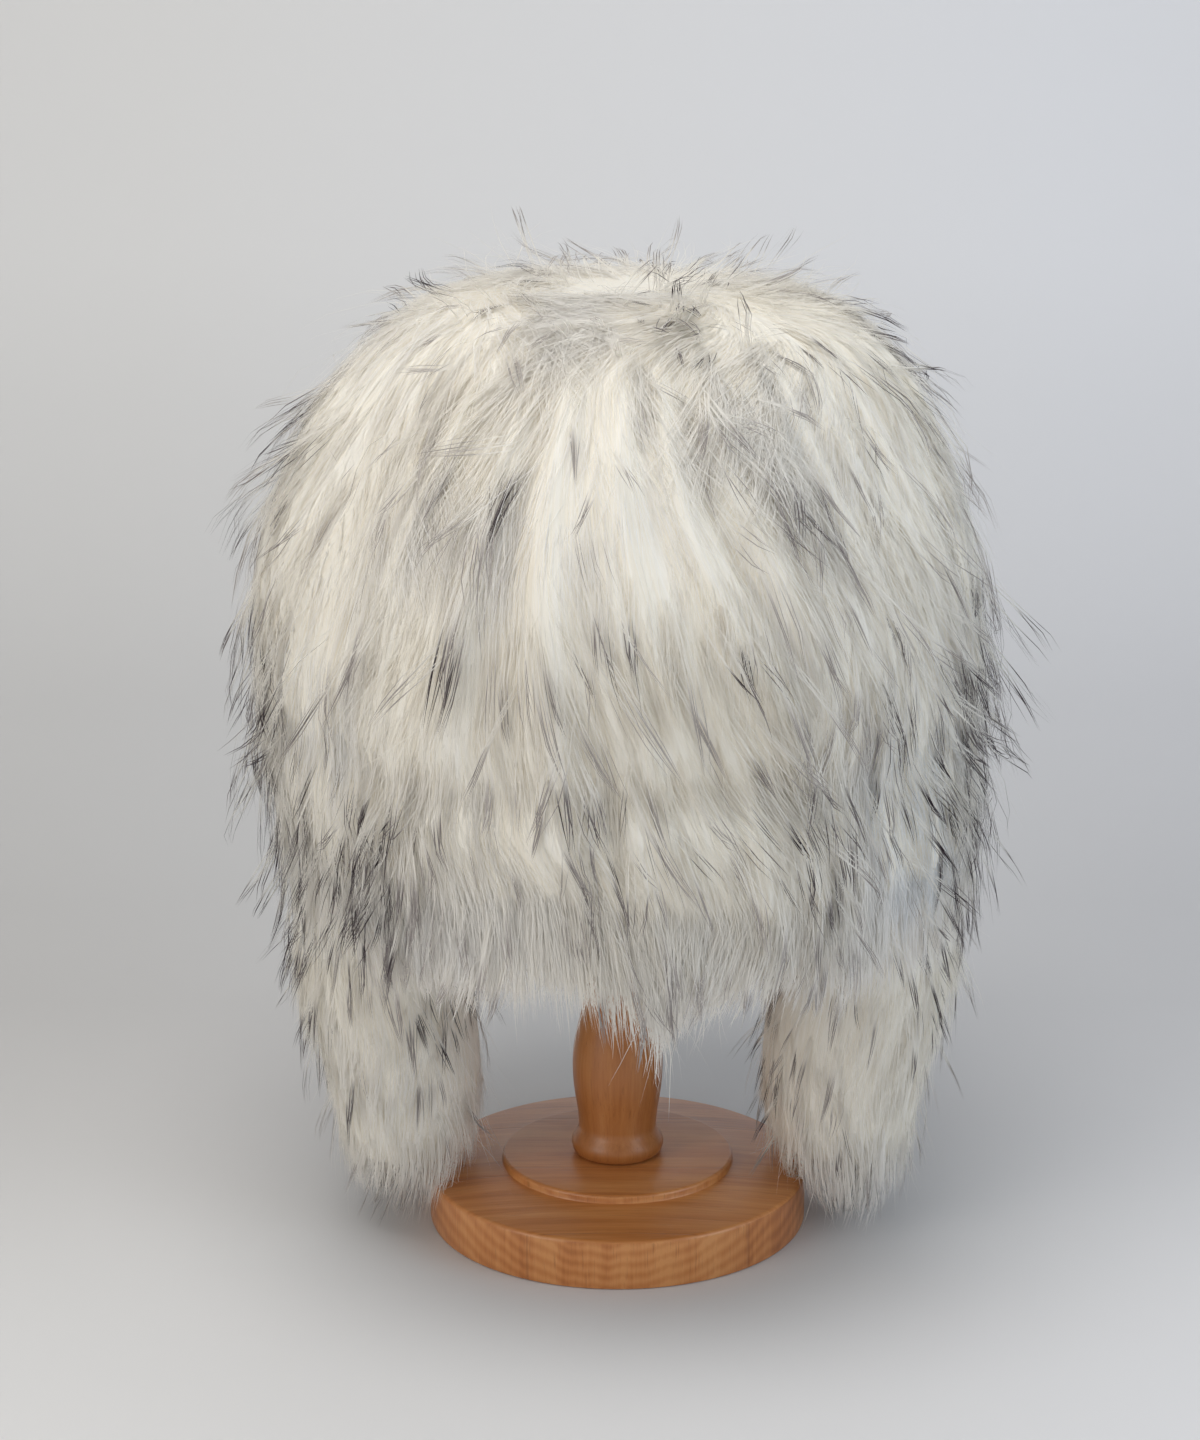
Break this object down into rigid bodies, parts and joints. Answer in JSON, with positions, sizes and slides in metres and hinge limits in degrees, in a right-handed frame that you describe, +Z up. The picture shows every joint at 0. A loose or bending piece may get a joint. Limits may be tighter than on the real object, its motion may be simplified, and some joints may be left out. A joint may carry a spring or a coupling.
{
  "type": "aviator hat on a wooden hat stand",
  "caption": "Aviator hat of long cream fur with dark tips, a brow band, a nape flap and padded ear flaps, set on a turned wooden hat stand.",
  "frame": {"origin": "centre of the stand's underside, on the surface it stands on", "axes": "+Z up, -Y towards the front of the hat, +X towards the wearer's left"},
  "size_m": [0.297, 0.3246, 0.3822],
  "materials": {
    "oiled_wood": "oiled, half gloss",
    "backing_cloth": "matt woven backing",
    "white_fur": "long soft pile with sparse dark tips"
  },
  "bodies": {
    "root": {"stand_base": "oiled_wood", "stand_post": "oiled_wood", "stand_head": "oiled_wood", "crown_shell": "backing_cloth", "crown_pile_front": "white_fur", "crown_pile_left": "white_fur", "crown_pile_back": "white_fur", "crown_pile_right": "white_fur", "brow_flap": "white_fur", "nape_flap": "white_fur", "ear_flap_left": "white_fur", "ear_flap_right": "white_fur"}
  },
  "joints": []
}
